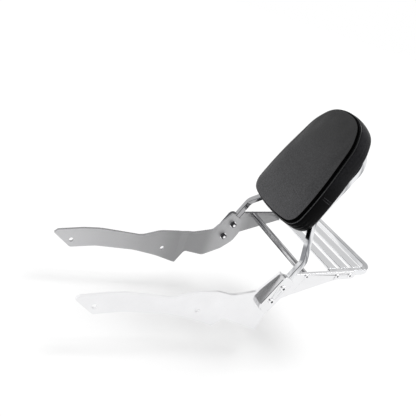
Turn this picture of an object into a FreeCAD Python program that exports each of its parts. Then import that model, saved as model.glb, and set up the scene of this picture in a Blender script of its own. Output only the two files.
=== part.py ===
import FreeCAD
import Part
import Sketcher
import math
import os

# Detachable motorcycle passenger backrest with a short luggage rack behind it.
# Frame: +X points to the front of the motorcycle, +Y to its left side, +Z up.
# The origin lies on the middle plane, on the common axis of the two rear mounting holes.
# The two mounting holes of each side plate lie level, along X.
# The hoop, the clamp lobes and the bolts share a leaning frame, whose origin is given below.

doc = FreeCAD.newDocument("backrest")
Vec = FreeCAD.Vector

# Driving sizes in millimetres and degrees: alias, value, meaning
SIZES = [
    ("mount_spacing", 223.4, "hole to hole along the side plate"),
    ("mount_hole_dia", 10.5, "mounting holes in the side plate"),
    ("outer_half_width", 130.0, "middle plane to the outer face of the side plate at the clamp"),
    ("plate_gauge", 6.0, "thickness of the side plate"),
    ("plate_jog", 6.0, "inward step of the side plate towards the fender"),
    ("jog_start", -38.0, "front end of the step along X"),
    ("jog_run", 22.0, "length of the step along X"),
    ("jog_round", 16.0, "inner bend radius of the step"),
    ("clamp_x", -168.0, "origin of the leaning frame along X, from which heights count"),
    ("clamp_z", 82.0, "origin of the leaning frame along Z"),
    ("lean_angle", 24.0, "backward lean of the hoop and the pad"),
    ("clamp_pitch", 38.0, "distance between the two clamp bolts"),
    ("clamp_rise", 2.5, "height of the upper clamp bolt"),
    ("bar_size", 12.7, "side of the square bar of the hoop and the rack loop"),
    ("bar_edge", 0.9, "broken edge of the square bars"),
    ("bar_setback", 1.5, "middle of the hoop bar behind the clamp bolt line"),
    ("clamp_wall", 3.3, "wall of the clamp lobe outside the hoop bar"),
    ("lobe_width", 34.0, "width of the clamp lobe"),
    ("lobe_top", 28.0, "height of the upper end of the clamp lobe"),
    ("lobe_length", 93.5, "length of the clamp lobe"),
    ("lobe_round", 13.0, "corner radius of the clamp lobe"),
    ("lobe_rim", 1.6, "broken edge round the outer face of the clamp lobe"),
    ("slot_play", 0.1, "side play of the hoop bar in its channel"),
    ("web_gauge", 8.0, "thickness of the bracket web and arm"),
    ("clamp_bolt_dia", 8.0, "clamp bolt shank"),
    ("clamp_play", 0.2, "radial play round the clamp bolts"),
    ("bolt_tip", 2.0, "clamp bolt beyond its nut"),
    ("rack_slope", 7.4, "rise of the rack arms to the rear"),
    ("arm_top_x", -205.0, "point on the top edge of the arm along X"),
    ("arm_top_z", 117.5, "point on the top edge of the arm along Z"),
    ("arm_depth", 19.0, "depth of the arm at its tail"),
    ("arm_tail", 150.0, "tail of the arm behind that point, along the slope"),
    ("strut_size", 11.5, "side of the square cross strut"),
    ("strut_back", 17.2, "middle of the strut behind the arm point"),
    ("hoop_foot", 20.0, "height of the foot of the hoop bar"),
    ("hoop_bend", 73.0, "height of the lower bends"),
    ("hoop_half_width", 76.0, "middle plane to the middle of the upper hoop legs"),
    ("hoop_shoulder", 149.0, "height of the upper bends"),
    ("hoop_top", 332.0, "height of the middle of the top bar"),
    ("hoop_bend_round", 22.0, "bend radius of the lower and upper bends, middle of the bar"),
    ("hoop_top_round", 46.0, "bend radius of the top corners, middle of the bar"),
    ("pad_lean", 23.0, "backward lean of the pad"),
    ("pad_bottom", 105.0, "height of the lower edge of the pad"),
    ("pad_height", 272.5, "height of the pad"),
    ("pad_low_half", 100.0, "half width of the pad near the bottom"),
    ("pad_high_half", 86.5, "half width of the pad where the top curve starts"),
    ("pad_rear_edge", 5.0, "bevel of the rear edge of the pad"),
    ("pad_depth", 57.0, "thickness of the pad"),
    ("pad_bow", 10.5, "outward bow of the bottom edge"),
    ("pad_low_round", 37.0, "radius of the lower corners"),
    ("pad_edge", 8.0, "bevel of the front edge of the pad"),
    ("pad_edge_soft", 2.6, "second bevel on each side of the first"),
    ("pad_gap", 0.3, "clearance between the pad and what it rests on"),
    ("board_gauge", 4.0, "thickness of the pad board"),
    ("board_inset", 11.0, "pad board inside the outline of the pad"),
    ("cross_bar_width", 25.0, "height of the flat cross bars behind the pad"),
    ("cross_bar_gauge", 6.0, "thickness of the flat cross bars"),
    ("cross_bar_low", 178.0, "height of the lower cross bar"),
    ("cross_bar_high", 268.0, "height of the upper cross bar"),
    ("small_screw_dia", 6.0, "pad screws and rack screws"),
    ("small_play", 0.2, "radial play round the small screws"),
    ("rack_length", 120.0, "rack loop from its front ends to its rear face"),
    ("rack_lap", 64.0, "length of the rack loop that lies along each arm"),
    ("rack_round", 24.0, "corner radius of the rack loop, middle of the bar"),
    ("slat_width", 22.0, "width of the rack slats"),
    ("slat_gauge", 5.0, "thickness of the rack slats"),
    ("slat_edge", 1.5, "rounded upper edges of the rack slats"),
    ("slat_first", 14.0, "first slat behind the front ends of the loop"),
    ("rack_screw_first", 14.0, "first rack screw behind the front ends of the loop"),
    ("rack_screw_pitch", 34.0, "distance between the rack screws"),
    ("screw_bite", 9.0, "depth of the screws in the bar they hold"),
    ("tap_spare", 6.0, "tapped hole of the strut beyond its screw"),
    ("washer_gauge", 1.6, "thickness of the washers under the nuts"),
    ("washer_dia", 17.0, "washers under the nuts"),
]

sheet = doc.addObject("Spreadsheet::Sheet", "sizes")
V = {}
for row, (alias, value, meaning) in enumerate(SIZES, start=1):
    sheet.set("A%d" % row, meaning)
    sheet.set("B%d" % row, str(value))
    sheet.setAlias("B%d" % row, alias)
    V[alias] = value
doc.recompute()

nodes = []


def note(obj, label):
    """Give an object the name of its piece and remember it for the files."""
    obj.Label = label
    nodes.append(obj)
    return obj


def bind(obj, prop, formula):
    """Tie a property to the sheet. Words in the formula that are aliases get the sheet's name."""
    words = formula.replace("(", " ( ").replace(")", " ) ").split()
    obj.setExpression(prop, " ".join("sizes." + w if w in V else w for w in words))


# Geometry helpers

def rounded_profile(corners):
    """Closed profile of straight runs and tangent arcs from (x, y, radius) corners."""
    n = len(corners)
    points = [Vec(x, y, 0) for x, y, radius in corners]
    turns = []
    wishes = []
    for i in range(n):
        turn = math.pi - (points[i - 1] - points[i]).getAngle(points[(i + 1) % n] - points[i])
        turns.append(turn)
        wishes.append(corners[i][2] * math.tan(turn / 2))
    cuts = []
    for i in range(n):
        p = points[i]
        turn = turns[i]
        a = points[i - 1] - p
        b = points[(i + 1) % n] - p
        # Two arcs that want more than the run between them share it in proportion
        share = min(1.0, 0.98 * a.Length / max(wishes[i] + wishes[i - 1], 1e-9))
        share = min(share, 0.98 * b.Length / max(wishes[i] + wishes[(i + 1) % n], 1e-9))
        reach = wishes[i] * share
        radius = reach / math.tan(turn / 2) if turn > 1e-6 else 0.0
        a.normalize()
        b.normalize()
        start = p + a * reach
        end = p + b * reach
        middle = None
        if corners[i][2] > 0 and turn > 1e-3:
            inward = (a + b).normalize()
            middle = p + inward * (radius / math.cos(turn / 2) - radius)
        else:
            start = p
            end = p
        cuts.append((start, middle, end))
    edges = []
    for i in range(n):
        start, middle, end = cuts[i]
        if middle is not None:
            edges.append(Part.Arc(start, middle, end))
        following = cuts[(i + 1) % n][0]
        if end.distanceToPoint(following) > 1e-6:
            edges.append(Part.LineSegment(end, following))
    return edges


def add_profile(sketch, edges):
    """Put a closed chain of edges into a sketch and hold each edge where it lies."""
    first = sketch.GeometryCount
    sketch.addGeometry(edges, False)
    sketch.addConstraint([Sketcher.Constraint("Block", first + k) for k in range(len(edges))])


def add_circle(sketch, x, y, formula_radius, value_radius):
    """Circle whose radius is tied to the sheet."""
    index = sketch.addGeometry(Part.Circle(Vec(x, y, 0), Vec(0, 0, 1), value_radius), False)
    constraint = sketch.addConstraint(Sketcher.Constraint("Radius", index, value_radius))
    bind(sketch, "Constraints[%d]" % constraint, formula_radius)
    return index


def new_body(name):
    return doc.addObject("PartDesign::Body", name)


def plane_sketch(body, role, name, offset_formula=None):
    """Sketch on an origin plane of its own body, moved along the plane's normal."""
    sketch = body.newObject("Sketcher::SketchObject", name)
    plane = [f for f in body.Origin.OriginFeatures if f.Role == role][0]
    sketch.AttachmentSupport = [(plane, "")]
    sketch.MapMode = "FlatFace"
    if offset_formula:
        bind(sketch, "AttachmentOffset.Base.z", offset_formula)
    return sketch


def pad(body, sketch, name, formula, reverse=False):
    feature = body.newObject("PartDesign::Pad", name)
    feature.Profile = sketch
    feature.Reversed = reverse
    bind(feature, "Length", formula)
    sketch.Visibility = False
    return feature


def pocket(body, sketch, name, formula=None, reverse=False, both=False):
    feature = body.newObject("PartDesign::Pocket", name)
    feature.Profile = sketch
    feature.Reversed = reverse
    if formula is None:
        feature.Type = "ThroughAll"
        feature.Midplane = both
    else:
        bind(feature, "Length", formula)
    sketch.Visibility = False
    return feature


def long_edges(shape, test):
    """Names of the edges of a shape that pass a test."""
    return ["Edge%d" % (i + 1) for i, edge in enumerate(shape.Edges) if test(edge)]


def checked_cut(body, feature):
    """A cut that removes nothing is a fault, so the volume is compared."""
    before = feature.BaseFeature.Shape.Volume
    doc.recompute()
    if not feature.Shape.Volume < before - 1e-3:
        raise RuntimeError(feature.Label + " removed nothing")


# Places shared by several pieces

LEAN = math.radians(V["lean_angle"])
SLOPE = math.radians(V["rack_slope"])


def hoop_point(forward, up):
    """Point in the side view from its place in the leaning frame."""
    x = V["clamp_x"] + forward * math.cos(LEAN) - up * math.sin(LEAN)
    z = V["clamp_z"] + forward * math.sin(LEAN) + up * math.cos(LEAN)
    return x, z


def clamp_heights():
    """Heights of the two clamp bolts in the leaning frame."""
    return [V["clamp_rise"], V["clamp_rise"] - V["clamp_pitch"]]


def arm_point(back, up):
    """Point in the side view from its distance along and above the top edge of the arm."""
    x = V["arm_top_x"] - back * math.cos(SLOPE) + up * math.sin(SLOPE)
    z = V["arm_top_z"] + back * math.sin(SLOPE) + up * math.cos(SLOPE)
    return x, z


HOOP_PLACE = FreeCAD.Placement(
    Vec(V["clamp_x"], 0, V["clamp_z"]), FreeCAD.Rotation(Vec(0, 1, 0), -V["lean_angle"])
)


def lean_back(obj):
    """Stand a piece in the leaning frame."""
    obj.Placement = HOOP_PLACE
    bind(obj, "Placement.Base.x", "clamp_x")
    bind(obj, "Placement.Base.z", "clamp_z")
    bind(obj, "Placement.Rotation.Angle", "lean_angle * -1")


BAR_FRONT = V["bar_size"] / 2 - V["bar_setback"]
PAD_LEAN = math.radians(V["pad_lean"])


def stand_pad(obj):
    """Stand a piece in the pad's frame. Its YZ plane is the rear of the pad board, which meets
    the front of the hoop bar at the lower edge of the pad. Heights stay as on the hoop."""
    x, z = hoop_point(BAR_FRONT, V["pad_bottom"])
    x += V["pad_bottom"] * math.sin(PAD_LEAN)
    z -= V["pad_bottom"] * math.cos(PAD_LEAN)
    obj.Placement = FreeCAD.Placement(Vec(x, 0, z), FreeCAD.Rotation(Vec(0, 1, 0), -V["pad_lean"]))
    bind(obj, "Placement.Rotation.Angle", "pad_lean * -1")


# The loop laps over the tail of each arm and hangs on its middle line
RACK_START = V["arm_tail"] - V["rack_lap"]
RACK_X, RACK_Z = arm_point(RACK_START, -V["arm_depth"] / 2)
STRUT_MIDDLE = arm_point(V["strut_back"], -V["strut_size"] / 2)


def rack_screw_spots():
    """Places of the two rack screws of one arm in the side view."""
    first = RACK_START + V["rack_screw_first"]
    return [arm_point(first + k * V["rack_screw_pitch"], -V["arm_depth"] / 2) for k in range(2)]


def lay_on_slope(obj):
    """Lay a piece in the frame of the rack, with its origin at the front ends of the loop."""
    obj.Placement = FreeCAD.Placement(
        Vec(RACK_X, 0, RACK_Z), FreeCAD.Rotation(Vec(0, 1, 0), V["rack_slope"])
    )


# Side plates: a strip with a step, cut to its outline, with the two mounting holes

# The strip is this much longer than its outline at each end before it is cut
STRIP_SPARE = 60.0


def plate_outline(side):
    """Outline of a side plate in the side view. The left plate has a deeper tab under the clamp."""
    front = V["mount_spacing"]
    cx = V["clamp_x"]
    cz = V["clamp_z"]
    step = V["jog_start"]
    heel = [
        (cx - 17.0, cz - 45.0, 34.0),
        (cx + 9.0, cz - 70.0, 34.0),
        (cx + 53.0, cz - 94.0, 22.0),
        (cx + 103.5, cz - 86.8, 9.0),
    ]
    tab = [
        (cx - 17.0, cz - 45.0, 30.0),
        (cx + 0.5, cz - 70.0, 26.0),
        (cx + 11.5, cz - 124.5, 2.5),
        (cx + 103.5, cz - 95.5, 9.0),
    ]
    return [
        (front + 41.6, 14.2, 2.0),
        (front + 34.4, 22.3, 4.0),
        (front - 21.0, 32.4, 90.0),
        (front - 62.0, 35.4, 160.0),
        (front - 141.0, 30.2, 45.0),
        (60.0, 28.6, 45.0),
        (17.0, 45.6, 70.0),
        (step + 6.0, 49.6, 60.0),
        (cx + 96.0, 47.6, 60.0),
        (cx + 45.5, 61.0, 16.0),
        (cx + 7.2, cz + 31.0, 4.0),
        (cx - 20.6, cz + 17.2, 6.0),
        (cx - 29.0, cz - 15.0, 30.0),
    ] + (tab if side > 0 else heel) + [
        (step - 6.5, -37.0, 3.0),
        (12.0, -21.4, 150.0),
        (72.0, -11.6, 160.0),
        (front - 59.0, -9.6, 110.0),
        (front - 0.5, -18.8, 8.0),
    ]


def make_side_plate(label, side):
    body = new_body("plate_" + label)
    strip = plane_sketch(body, "XY_Plane", "strip_" + label)
    inner = V["outer_half_width"] - V["plate_gauge"]
    outer = V["outer_half_width"]
    jog = V["plate_jog"]
    fore = V["mount_spacing"] + STRIP_SPARE
    aft = V["clamp_x"] - STRIP_SPARE
    bend_a = V["jog_start"]
    bend_b = V["jog_start"] - V["jog_run"]
    section = [
        (fore, inner - jog, 0.0),
        (fore, outer - jog, 0.0),
        (bend_a, outer - jog, V["jog_round"] + V["plate_gauge"]),
        (bend_b, outer, V["jog_round"]),
        (aft, outer, 0.0),
        (aft, inner, 0.0),
        (bend_b, inner, V["jog_round"] + V["plate_gauge"]),
        (bend_a, inner - jog, V["jog_round"]),
    ]
    section = [(x, side * y, r) for x, y, r in section]
    add_profile(strip, rounded_profile(section))
    slab = pad(body, strip, "slab_" + label, "clamp_z * 2 + mount_spacing")
    slab.Midplane = True
    doc.recompute()
    trim = plane_sketch(body, "XZ_Plane", "outline_" + label)
    tall = V["clamp_z"] * 2 + V["mount_spacing"]
    fore += STRIP_SPARE
    aft -= STRIP_SPARE
    frame = [(fore, tall, 0), (aft, tall, 0), (aft, -tall, 0), (fore, -tall, 0)]
    add_profile(trim, rounded_profile(frame))
    add_profile(trim, rounded_profile(plate_outline(side)))
    cut = pocket(body, trim, "trim_" + label, both=True)
    checked_cut(body, cut)
    holes = plane_sketch(body, "XZ_Plane", "holes_" + label)
    add_circle(holes, 0, 0, "mount_hole_dia / 2", V["mount_hole_dia"] / 2)
    front = add_circle(holes, V["mount_spacing"], 0, "mount_hole_dia / 2", V["mount_hole_dia"] / 2)
    place = holes.addConstraint(Sketcher.Constraint("DistanceX", -1, 1, front, 3, V["mount_spacing"]))
    bind(holes, "Constraints[%d]" % place, "mount_spacing")
    for height in clamp_heights():
        x, z = hoop_point(0.0, height)
        radius = V["clamp_bolt_dia"] / 2 + V["clamp_play"]
        add_circle(holes, x, z, "clamp_bolt_dia / 2 + clamp_play", radius)
    drill = pocket(body, holes, "drill_" + label, both=True)
    checked_cut(body, drill)
    return note(body, "side_plate_" + label)


# Brackets: a clamp lobe with a channel for the hoop bar, a web and a rack arm in one piece

def bracket_web():
    """Outline of the web and the arm in the side view."""
    tail = V["arm_tail"]
    deep = V["arm_depth"]
    low = hoop_point(-10.0, V["lobe_top"] - V["lobe_length"] + 22.0)
    knee = arm_point(98.0, -deep - 1.0)
    heel = (V["clamp_x"] - 31.0, V["clamp_z"] - 21.0)
    front = hoop_point(0.0, V["lobe_top"] + 12.0)
    return [
        (low[0], low[1], 12.0),
        (heel[0], heel[1], 60.0),
        (knee[0], knee[1], 60.0),
        arm_point(tail, -deep) + (9.0,),
        arm_point(tail, 0.0) + (7.0,),
        arm_point(-7.0, 0.0) + (10.0,),
        (front[0], front[1], 4.0),
        hoop_point(2.0, 0.0) + (3.0,),
    ]


def leaning_box(low_x, high_x, low_z, high_z, corner):
    """Rounded rectangle in the leaning frame, as side view corners."""
    corners = [(high_x, low_z), (high_x, high_z), (low_x, high_z), (low_x, low_z)]
    return [hoop_point(x, z) + (corner,) for x, z in corners]


def make_bracket(label, side):
    body = new_body("bracket_body_" + label)
    near = "outer_half_width"
    # The plane's normal points to -Y, so the left side is padded from its outer face inwards.
    web_offset = "0 - outer_half_width - web_gauge" if side > 0 else near
    web = plane_sketch(body, "XZ_Plane", "web_" + label, web_offset)
    add_profile(web, rounded_profile(bracket_web()))
    pad(body, web, "web_pad_" + label, "web_gauge")
    lobe_offset = "0 - outer_half_width - bar_size - clamp_wall" if side > 0 else near
    lobe = plane_sketch(body, "XZ_Plane", "lobe_" + label, lobe_offset)
    half = V["lobe_width"] / 2
    top = V["lobe_top"]
    bottom = V["lobe_top"] - V["lobe_length"]
    add_profile(lobe, rounded_profile(leaning_box(-half, half, bottom, top, V["lobe_round"])))
    pad(body, lobe, "lobe_pad_" + label, "bar_size + clamp_wall")
    doc.recompute()
    # Broken edge round the outer face of the lobe
    face_y = side * (V["outer_half_width"] + V["bar_size"] + V["clamp_wall"])

    def on_outer_face(edge):
        return all(abs(v.Y - face_y) < 1e-4 for v in edge.Vertexes)

    rim = body.newObject("PartDesign::Chamfer", "rim_" + label)
    last = [f for f in body.Group if f.Name.startswith("lobe_pad")][0]
    rim.Base = (last, long_edges(last.Shape, on_outer_face))
    rim.Size = min(V["lobe_rim"], 0.6 * V["clamp_wall"])
    doc.recompute()
    # Channel that takes the lower end of the hoop bar, open at the top
    channel = plane_sketch(body, "XZ_Plane", "channel_" + label, near if side < 0 else "0 - " + near)
    half_bar = V["bar_size"] / 2 + V["slot_play"]
    corners = leaning_box(-V["bar_setback"] - half_bar, -V["bar_setback"] + half_bar,
                          V["hoop_foot"], V["lobe_top"] * 2, 0.0)
    add_profile(channel, rounded_profile(corners))
    # On the left the cut goes outwards against the plane's normal, on the right along it.
    groove = pocket(body, channel, "channel_cut_" + label, "bar_size", reverse=(side < 0))
    checked_cut(body, groove)
    drill = plane_sketch(body, "XZ_Plane", "bolt_holes_" + label)
    for height in clamp_heights():
        x, z = hoop_point(0.0, height)
        radius = V["clamp_bolt_dia"] / 2 + V["clamp_play"]
        add_circle(drill, x, z, "clamp_bolt_dia / 2 + clamp_play", radius)
    radius = V["small_screw_dia"] / 2 + V["small_play"]
    for x, z in [STRUT_MIDDLE] + rack_screw_spots():
        add_circle(drill, x, z, "small_screw_dia / 2 + small_play", radius)
    bores = pocket(body, drill, "bores_" + label, both=True)
    checked_cut(body, bores)
    return note(body, "bracket_" + label)


# Hoop: one square bar, bent inwards above the brackets and closed over the top behind the pad

def hoop_middle():
    """Corners of the bar's middle line on the left side, from the foot to the top corner."""
    leg = V["outer_half_width"] + V["bar_size"] / 2
    return [
        (leg, V["hoop_foot"]),
        (leg, V["hoop_bend"]),
        (V["hoop_half_width"], V["hoop_shoulder"]),
        (V["hoop_half_width"], V["hoop_top"]),
    ]


def offset_line(points, distance):
    """Open chain of corners moved sideways by a distance, to the left of its direction."""
    moved = []
    for i, point in enumerate(points):
        normals = []
        for j in (i - 1, i):
            if 0 <= j < len(points) - 1:
                dx = points[j + 1][0] - points[j][0]
                dy = points[j + 1][1] - points[j][1]
                length = math.hypot(dx, dy)
                normals.append((-dy / length, dx / length))
        if len(normals) == 1:
            nx, ny = normals[0]
            moved.append((point[0] + nx * distance, point[1] + ny * distance))
        else:
            sx = normals[0][0] + normals[1][0]
            sy = normals[0][1] + normals[1][1]
            scale = 2.0 / (sx * sx + sy * sy)
            moved.append((point[0] + sx * scale * distance, point[1] + sy * scale * distance))
    return moved


def bar_outline(middle, half, radii):
    """Closed outline of a bar that follows a bent middle line. Radii are those of the middle line."""
    outline = []
    for sign in (1, -1):
        moved = offset_line(middle, sign * half)
        rounded = []
        for i, point in enumerate(moved):
            radius = 0.0
            if 0 < i < len(moved) - 1:
                ax = middle[i][0] - middle[i - 1][0]
                ay = middle[i][1] - middle[i - 1][1]
                bx = middle[i + 1][0] - middle[i][0]
                by = middle[i + 1][1] - middle[i][1]
                left_turn = ax * by - ay * bx > 0
                radius = radii[i] - sign * half if left_turn else radii[i] + sign * half
            rounded.append((point[0], point[1], radius))
        outline += rounded if sign == 1 else rounded[::-1]
    return outline


def side_edges(shape, axis, low, high):
    """Edges that lie wholly in one of the two flat faces across an axis."""
    def test(edge):
        values = [getattr(v.Point, axis) for v in edge.Vertexes]
        return any(all(abs(value - level) < 1e-4 for value in values) for level in (low, high))
    return long_edges(shape, test)


def make_hoop():
    body = new_body("hoop_body")
    sketch = plane_sketch(body, "YZ_Plane", "hoop_line", "0 - bar_setback - bar_size / 2")
    left = hoop_middle()
    middle = left + [(-y, z) for y, z in left[::-1]]
    bend = V["hoop_bend_round"]
    top = V["hoop_top_round"]
    radii = [0, bend, bend, top, top, bend, bend, 0]
    add_profile(sketch, rounded_profile(bar_outline(middle, V["bar_size"] / 2, radii)))
    pad(body, sketch, "hoop_bar", "bar_size")
    doc.recompute()
    base = body.Tip
    low = -V["bar_setback"] - V["bar_size"] / 2
    ease = body.newObject("PartDesign::Chamfer", "hoop_edges")
    ease.Base = (base, side_edges(base.Shape, "x", low, low + V["bar_size"]))
    bind(ease, "Size", "bar_edge")
    doc.recompute()
    lean_back(body)
    return note(body, "hoop")


# Pad with its board and the two cross bars that carry it

def pad_outline(inset):
    """Outline of the pad in its own plane: bowed bottom, slight taper, broad round top."""
    low = V["pad_bottom"] + inset
    high = V["pad_bottom"] + V["pad_height"] - inset
    wide = V["pad_low_half"] - inset
    shoulder = V["pad_high_half"] - inset
    tall = high - low
    right = [
        (wide * 0.4, low, 350.0),
        (wide - 2.5, low + V["pad_bow"], V["pad_low_round"]),
        (wide + 0.4, low + tall * 0.35, 700.0),
        (shoulder - 3.0, high - tall * 0.195, 85.0),
        (wide * 0.585, high - tall * 0.053, 80.0),
        (wide * 0.255, high, 120.0),
    ]
    left = [(-y, z, r) for y, z, r in right[::-1]]
    return right + left


def make_pad():
    body = new_body("pad_body")
    sketch = plane_sketch(body, "YZ_Plane", "pad_line", "pad_gap")
    add_profile(sketch, rounded_profile(pad_outline(0.0)))
    pad(body, sketch, "pad_block", "pad_depth")
    doc.recompute()
    base = body.Tip
    back = V["pad_gap"]
    front = back + V["pad_depth"]
    bevel = body.newObject("PartDesign::Chamfer", "pad_front_edge")
    bevel.Base = (base, side_edges(base.Shape, "x", front, front))
    bind(bevel, "Size", "pad_edge")
    doc.recompute()
    soft = body.newObject("PartDesign::Chamfer", "pad_front_softening")
    level = front - V["pad_edge"]
    soft.Base = (bevel, side_edges(bevel.Shape, "x", level, front))
    bind(soft, "Size", "pad_edge_soft")
    doc.recompute()
    rear = body.newObject("PartDesign::Chamfer", "pad_back_edge")
    rear.Base = (soft, side_edges(soft.Shape, "x", back, back))
    bind(rear, "Size", "pad_rear_edge")
    doc.recompute()
    # Recess in the back that takes the board
    seat = plane_sketch(body, "YZ_Plane", "board_seat_line", "board_gauge + pad_gap")
    add_profile(seat, rounded_profile(pad_outline(V["board_inset"] - V["pad_gap"])))
    recess = pocket(body, seat, "board_seat", "board_gauge * 2")
    checked_cut(body, recess)
    stand_pad(body)
    return note(body, "pad_cushion")


def screw_spots():
    """Places of the two pad screws in the pad's plane, each in the middle of a cross bar."""
    return [(0.0, V["cross_bar_low"]), (0.0, V["cross_bar_high"])]


def make_board():
    body = new_body("board_body")
    sketch = plane_sketch(body, "YZ_Plane", "board_line")
    add_profile(sketch, rounded_profile(pad_outline(V["board_inset"])))
    for y, z in screw_spots():
        add_circle(sketch, y, z, "small_screw_dia / 2", V["small_screw_dia"] / 2)
    pad(body, sketch, "board_plate", "board_gauge")
    stand_pad(body)
    return note(body, "pad_board")


def make_cross_bar(label, height_name):
    body = new_body("cross_bar_" + label)
    sketch = plane_sketch(body, "YZ_Plane", "cross_line_" + label, "0 - cross_bar_gauge")
    height = V[height_name]
    half_height = V["cross_bar_width"] / 2
    reach = V["hoop_half_width"] - V["bar_size"] / 2
    corners = [(reach, height - half_height, 0), (reach, height + half_height, 0),
               (-reach, height + half_height, 0), (-reach, height - half_height, 0)]
    add_profile(sketch, rounded_profile(corners))
    radius = V["small_screw_dia"] / 2 + V["small_play"]
    add_circle(sketch, 0.0, height, "small_screw_dia / 2 + small_play", radius)
    pad(body, sketch, "cross_plate_" + label, "cross_bar_gauge")
    stand_pad(body)
    return note(body, "cross_bar_" + label)


# Fasteners. Their proportions are shares of the shank diameter, and their round forms have
# flat facets with the corners on the true circle

FACETS = 12
HEAD_RADIUS = 0.9
HEAD_HEIGHT = 0.55
HEAD_RIM = 0.16
CROWN_RADIUS = 0.54
SOCKET_RADIUS = 0.36
SOCKET_DEPTH = 0.36
NUT_RADIUS = 0.938
NUT_HEIGHT = 0.8


def polygon_face(corners):
    return Part.Face(Part.makePolygon(corners + [corners[0]]))


def facet_corners(point, axis, radius, sides=FACETS):
    """Corners of a regular polygon round an axis."""
    across = Vec(1, 0, 0) if abs(axis.x) < 0.5 else Vec(0, 1, 0)
    second = axis.cross(across)
    corners = []
    for k in range(sides):
        turn = 2 * math.pi * (k + 0.5) / sides
        corners.append(point + across * (radius * math.cos(turn)) + second * (radius * math.sin(turn)))
    return corners


def prism(point, axis, radius, length, sides=FACETS):
    return polygon_face(facet_corners(point, axis, radius, sides)).extrude(axis * length)


def frustum(low, low_radius, high, high_radius, axis):
    """Solid between two polygons of different size, with a flat facet along each side."""
    bottom = facet_corners(low, axis, low_radius)
    top = facet_corners(high, axis, high_radius)
    faces = [polygon_face(bottom), polygon_face(top)]
    for k in range(FACETS):
        n = (k + 1) % FACETS
        faces.append(polygon_face([bottom[k], bottom[n], top[n], top[k]]))
    solid = Part.Solid(Part.Shell(faces))
    if solid.Volume < 0:
        solid.reverse()
    return solid


def button_screw(point, axis, dia, length):
    """Button head screw: point is under the head, axis points from the head to the tip."""
    head = dia * HEAD_RADIUS
    rim = point - axis * (dia * HEAD_RIM)
    top = point - axis * (dia * HEAD_HEIGHT)
    shank = prism(point, axis, dia / 2, length)
    edge = prism(rim, axis, head, dia * HEAD_RIM)
    crown = frustum(rim, head, top, dia * CROWN_RADIUS, axis)
    socket = prism(top, axis, dia * SOCKET_RADIUS, dia * SOCKET_DEPTH, 6)
    return shank.fuse([edge, crown]).cut(socket).removeSplitter()


def ring(point, axis, inner, outer, gauge):
    """Washer that starts at point and goes along axis."""
    return prism(point, axis, outer / 2, gauge).cut(prism(point, axis, inner / 2, gauge))


def hex_nut(point, axis, dia):
    """Nut that starts at point and goes along axis."""
    tall = dia * NUT_HEIGHT
    return prism(point, axis, dia * NUT_RADIUS, tall, 6).cut(prism(point, axis, dia / 2, tall))


def group(label, shapes):
    """Several like pieces in one node, as separate solids."""
    obj = doc.addObject("Part::Feature", label + "_group")
    obj.Shape = Part.makeCompound(shapes)
    return note(obj, label)


def make_clamp_hardware():
    outside = V["outer_half_width"] + V["bar_size"] + V["clamp_wall"]
    inside = V["outer_half_width"] - V["plate_gauge"]
    gauge = V["washer_gauge"]
    dia = V["clamp_bolt_dia"]
    bore = dia + 2 * V["clamp_play"]
    length = outside - inside + gauge + dia * NUT_HEIGHT + V["bolt_tip"]
    bolts = []
    rings = []
    nuts = []
    for side in (1, -1):
        inward = Vec(0, -side, 0)
        for height in clamp_heights():
            x, z = hoop_point(0.0, height)
            bolts.append(button_screw(Vec(x, side * outside, z), inward, dia, length))
            rings.append(ring(Vec(x, side * inside, z), inward, bore, V["washer_dia"], gauge))
            nuts.append(hex_nut(Vec(x, side * (inside - gauge), z), inward, dia))
    group("clamp_bolts", bolts)
    group("clamp_washers", rings)
    group("clamp_nuts", nuts)


# Cross strut: a square bar between the arms, flush with their top edges, tapped at each end

def make_strut():
    body = new_body("strut_body")
    sketch = plane_sketch(body, "XZ_Plane", "strut_square", "0 - outer_half_width")
    back = V["strut_back"]
    half = V["strut_size"] / 2
    corners = [arm_point(back - half, 0.0), arm_point(back - half, -2 * half),
               arm_point(back + half, -2 * half), arm_point(back + half, 0.0)]
    add_profile(sketch, rounded_profile([corner + (0.0,) for corner in corners]))
    pad(body, sketch, "strut_bar", "outer_half_width * 2")
    doc.recompute()
    base = body.Tip
    ease = body.newObject("PartDesign::Chamfer", "strut_edges")
    ease.Base = (base, long_edges(base.Shape, lambda edge: edge.Length > V["strut_size"] * 4))
    bind(ease, "Size", "bar_edge")
    doc.recompute()
    x, z = STRUT_MIDDLE
    ends = (("left", "0 - outer_half_width", False), ("right", "outer_half_width", True))
    for name, offset, reverse in ends:
        tap = plane_sketch(body, "XZ_Plane", "strut_tap_" + name, offset)
        add_circle(tap, x, z, "small_screw_dia / 2", V["small_screw_dia"] / 2)
        hole = pocket(body, tap, "strut_hole_" + name, "screw_bite + tap_spare", reverse=not reverse)
        checked_cut(body, hole)
    return note(body, "cross_strut")


# Rack: a loop of the same square bar between the arm tails, with three flat slats

def make_rack_loop():
    body = new_body("rack_body")
    sketch = plane_sketch(body, "XY_Plane", "rack_line", "0 - bar_size / 2")
    half = V["bar_size"] / 2
    side = V["outer_half_width"] - half
    back = -V["rack_length"] + half
    middle = [(0.0, -side), (back, -side), (back, side), (0.0, side)]
    radii = [0, V["rack_round"], V["rack_round"], 0]
    add_profile(sketch, rounded_profile(bar_outline(middle, half, radii)))
    pad(body, sketch, "rack_bar", "bar_size")
    doc.recompute()
    base = body.Tip
    ease = body.newObject("PartDesign::Chamfer", "rack_edges")
    ease.Base = (base, side_edges(base.Shape, "z", -half, half))
    bind(ease, "Size", "bar_edge")
    doc.recompute()
    taps = plane_sketch(body, "XZ_Plane", "rack_taps")
    for k in range(2):
        x = -V["rack_screw_first"] - k * V["rack_screw_pitch"]
        add_circle(taps, x, 0.0, "small_screw_dia / 2", V["small_screw_dia"] / 2)
    drill = pocket(body, taps, "rack_drill", both=True)
    checked_cut(body, drill)
    lay_on_slope(body)
    return note(body, "rack_loop")


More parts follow.
